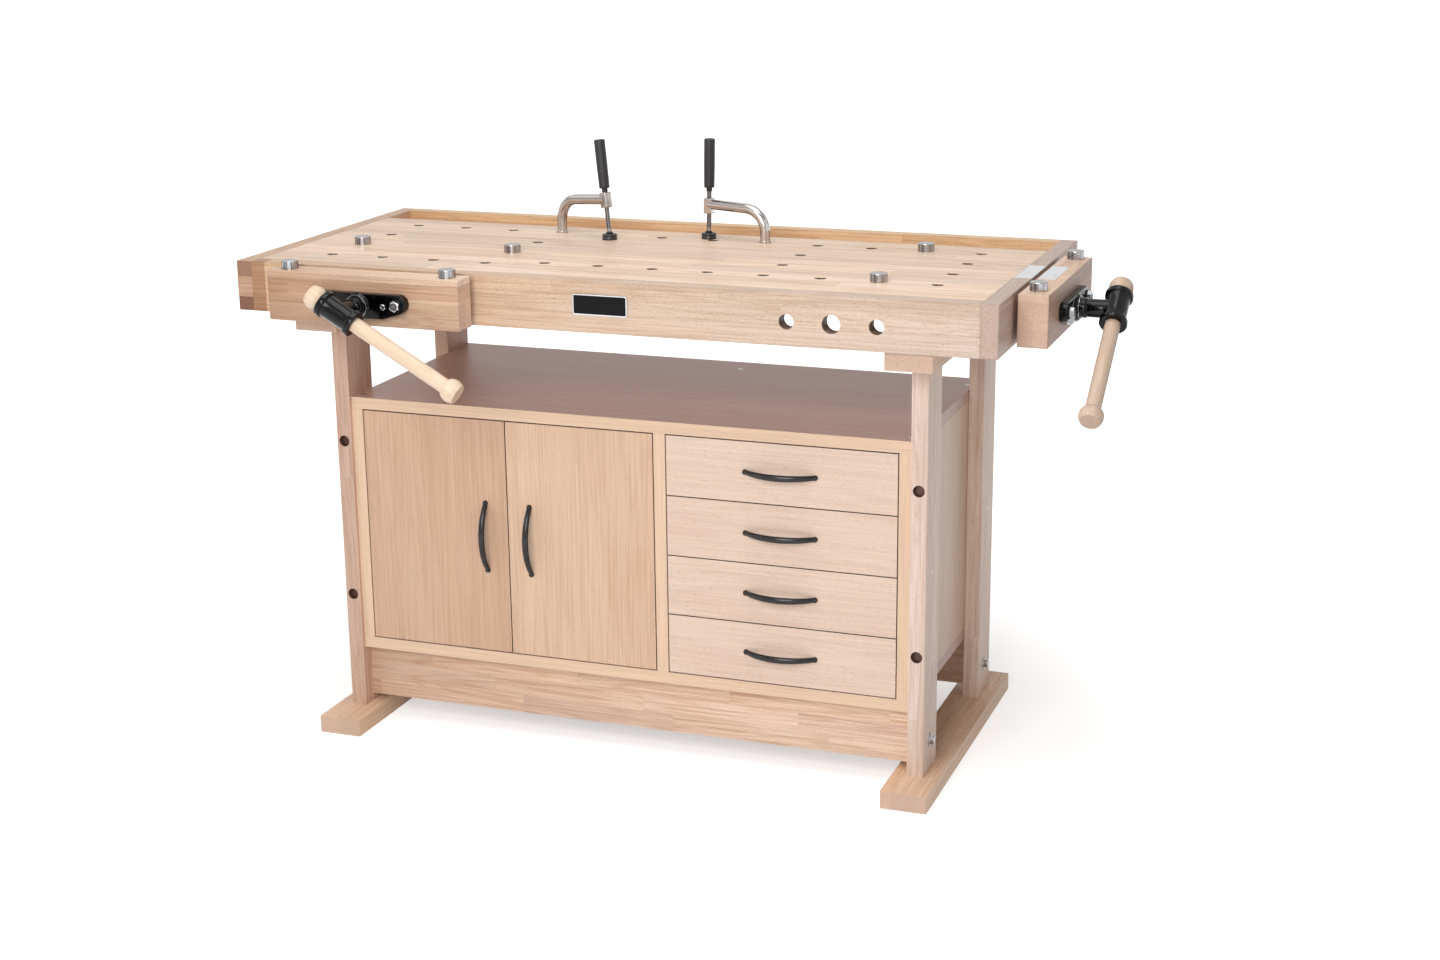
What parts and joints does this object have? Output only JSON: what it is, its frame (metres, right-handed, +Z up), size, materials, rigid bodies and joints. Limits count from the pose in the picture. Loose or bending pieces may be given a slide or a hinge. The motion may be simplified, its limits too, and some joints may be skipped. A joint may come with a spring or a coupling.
{
  "type": "woodworking bench with vises",
  "caption": "Joiner's workbench of pale beech on two trestles, with a front vise, an end vise, bench dogs, two holdfasts, a tool tray and a cabinet with doors and drawers.",
  "frame": {"origin": "on the floor, at the middle of the whole bench's footprint box at rest", "axes": "+X along the bench from the front vise to the end vise, +Y from the apron to the back, +Z up"},
  "size_m": [1.563, 0.811, 1.0876],
  "materials": {
    "beech": "oiled",
    "beech_board": "satin",
    "turned_wood": "bare",
    "cast_black": "gloss black paint",
    "steel": "brushed",
    "zinc": "zinc plated",
    "chrome": "polished",
    "grip_black": "matte",
    "bronze": "dark bronze",
    "plate_black": "satin black"
  },
  "bodies": {
    "bench": {"front_apron": "beech", "bench_field": "beech", "left_end_cap": "beech", "right_end_cap": "beech", "back_rim": "beech", "tray_floor": "beech", "nameplate": "plate_black", "bench_steel_plate": "steel", "feet": "beech", "bearers": "beech", "legs": "beech", "stretchers": "beech", "frame_bolts": "zinc", "cabinet_sides": "beech_board", "cabinet_decks": "beech_board", "cabinet_divider": "beech_board", "cabinet_back": "beech_board", "cabinet_shelf": "beech_board", "cabinet_fittings": "zinc", "drawer_runners": "beech", "vise_nuts": "cast_black"},
    "left_door": {"left_door": "beech_board", "left_door_fittings": "bronze"},
    "right_door": {"right_door": "beech_board", "right_door_fittings": "bronze"},
    "front_jaw": {"front_jaw": "beech", "front_vise_plate": "cast_black", "front_vise_guides": "zinc"},
    "front_vise_screw": {"front_vise_screw": "cast_black"},
    "front_vise_handle": {"front_vise_handle": "turned_wood"},
    "end_jaw": {"end_jaw": "beech", "jaw_steel_plate": "steel", "end_vise_plate": "cast_black", "end_vise_guides": "zinc"},
    "end_vise_screw": {"end_vise_screw": "cast_black"},
    "end_vise_handle": {"end_vise_handle": "turned_wood"},
    "left_holdfast": {"left_holdfast_arm": "chrome"},
    "left_clamp_pad": {"left_clamp_pad": "cast_black"},
    "left_clamp_screw": {"left_clamp_screw": "zinc", "left_clamp_grip": "grip_black"},
    "right_holdfast": {"right_holdfast_arm": "chrome"},
    "right_clamp_pad": {"right_clamp_pad": "cast_black"},
    "right_clamp_screw": {"right_clamp_screw": "zinc", "right_clamp_grip": "grip_black"},
    "drawer_1": {"drawer_1": "beech_board", "drawer_1_pull": "bronze"},
    "drawer_2": {"drawer_2": "beech_board", "drawer_2_pull": "bronze"},
    "drawer_3": {"drawer_3": "beech_board", "drawer_3_pull": "bronze"},
    "drawer_4": {"drawer_4": "beech_board", "drawer_4_pull": "bronze"},
    "bench_dog_1": {"bench_dog_1": "steel"},
    "bench_dog_2": {"bench_dog_2": "steel"},
    "bench_dog_3": {"bench_dog_3": "steel"},
    "bench_dog_4": {"bench_dog_4": "steel"},
    "bench_dog_5": {"bench_dog_5": "steel"},
    "bench_dog_6": {"bench_dog_6": "steel"},
    "bench_dog_7": {"bench_dog_7": "steel"},
    "bench_dog_8": {"bench_dog_8": "steel"}
  },
  "joints": [
    {"name": "front_jaw_slide", "type": "slide", "parent": "bench", "child": "front_jaw", "axis": [0, -1, 0], "range_m": [-0.016, 0.13]},
    {"name": "front_screw_turn", "type": "hinge", "parent": "front_jaw", "child": "front_vise_screw", "pos_m": [-0.4955, -0.3025, 0.848], "axis": [0, -1, 0], "range_deg": [-959, 7799]},
    {"name": "front_handle_slide", "type": "slide", "parent": "front_vise_screw", "child": "front_vise_handle", "axis": [-0.866, 0, 0.5], "range_m": [0, 0.1915]},
    {"name": "end_jaw_slide", "type": "slide", "parent": "bench", "child": "end_jaw", "axis": [1, 0, 0], "range_m": [-0.008, 0.13]},
    {"name": "end_screw_turn", "type": "hinge", "parent": "end_jaw", "child": "end_vise_screw", "pos_m": [0.6785, 0.0395, 0.848], "axis": [1, 0, 0], "range_deg": [-479, 7799]},
    {"name": "end_handle_slide", "type": "slide", "parent": "end_vise_screw", "child": "end_vise_handle", "axis": [0, 0.8192, 0.5736], "range_m": [0, 0.1915]},
    {"name": "left_door_hinge", "type": "hinge", "parent": "bench", "child": "left_door", "pos_m": [-0.5925, -0.1425, 0.393], "axis": [0, 0, -1], "range_deg": [0, 88]},
    {"name": "right_door_hinge", "type": "hinge", "parent": "bench", "child": "right_door", "pos_m": [-0.0195, -0.1425, 0.393], "axis": [0, 0, 1], "range_deg": [0, 88]},
    {"name": "drawer_1_slide", "type": "slide", "parent": "bench", "child": "drawer_1", "axis": [0, -1, 0], "range_m": [0, 0.3]},
    {"name": "drawer_2_slide", "type": "slide", "parent": "bench", "child": "drawer_2", "axis": [0, -1, 0], "range_m": [0, 0.3]},
    {"name": "drawer_3_slide", "type": "slide", "parent": "bench", "child": "drawer_3", "axis": [0, -1, 0], "range_m": [0, 0.3]},
    {"name": "drawer_4_slide", "type": "slide", "parent": "bench", "child": "drawer_4", "axis": [0, -1, 0], "range_m": [0, 0.3]},
    {"name": "bench_dog_1_lift", "type": "slide", "parent": "bench", "child": "bench_dog_1", "axis": [0, 0, 1], "range_m": [0, 0.05]},
    {"name": "bench_dog_2_lift", "type": "slide", "parent": "bench", "child": "bench_dog_2", "axis": [0, 0, 1], "range_m": [0, 0.05]},
    {"name": "bench_dog_3_lift", "type": "slide", "parent": "bench", "child": "bench_dog_3", "axis": [0, 0, 1], "range_m": [0, 0.05]},
    {"name": "bench_dog_4_lift", "type": "slide", "parent": "bench", "child": "bench_dog_4", "axis": [0, 0, 1], "range_m": [0, 0.05]},
    {"name": "bench_dog_5_lift", "type": "slide", "parent": "front_jaw", "child": "bench_dog_5", "axis": [0, 0, 1], "range_m": [0, 0.05]},
    {"name": "bench_dog_6_lift", "type": "slide", "parent": "front_jaw", "child": "bench_dog_6", "axis": [0, 0, 1], "range_m": [0, 0.05]},
    {"name": "bench_dog_7_lift", "type": "slide", "parent": "end_jaw", "child": "bench_dog_7", "axis": [0, 0, 1], "range_m": [0, 0.05]},
    {"name": "bench_dog_8_lift", "type": "slide", "parent": "end_jaw", "child": "bench_dog_8", "axis": [0, 0, 1], "range_m": [0, 0.05]},
    {"name": "left_holdfast_turn", "type": "hinge", "parent": "bench", "child": "left_holdfast", "pos_m": [-0.3387, 0.2125, 0.9], "axis": [0, 0, 1], "continuous": true},
    {"name": "left_pad_slide", "type": "slide", "parent": "left_holdfast", "child": "left_clamp_pad", "axis": [-0.113, 0.0457, 0.9925], "range_m": [0, 0.04]},
    {"name": "left_clamp_turn", "type": "hinge", "parent": "left_clamp_pad", "child": "left_clamp_screw", "pos_m": [-0.22095, 0.16492, 0.909], "axis": [-0.113, 0.0457, 0.9925], "range_deg": [0, 9600]},
    {"name": "right_holdfast_turn", "type": "hinge", "parent": "bench", "child": "right_holdfast", "pos_m": [0.0717, 0.2125, 0.9], "axis": [0, 0, 1], "continuous": true},
    {"name": "right_pad_slide", "type": "slide", "parent": "right_holdfast", "child": "right_clamp_pad", "axis": [0.0207, -0.0029, 0.9998], "range_m": [0, 0.028]},
    {"name": "right_clamp_turn", "type": "hinge", "parent": "right_clamp_pad", "child": "right_clamp_screw", "pos_m": [-0.04565, 0.22899, 0.909], "axis": [0.0207, -0.0029, 0.9998], "range_deg": [0, 6720]}
  ],
  "couplings": [
    {"joint": "front_jaw_slide", "follows": "front_screw_turn", "m_per_rad": 0.00095493},
    {"joint": "end_jaw_slide", "follows": "end_screw_turn", "m_per_rad": 0.00095493},
    {"joint": "left_clamp_turn", "follows": "left_pad_slide", "rad_per_m": 4188.8},
    {"joint": "right_clamp_turn", "follows": "right_pad_slide", "rad_per_m": 4188.8}
  ]
}
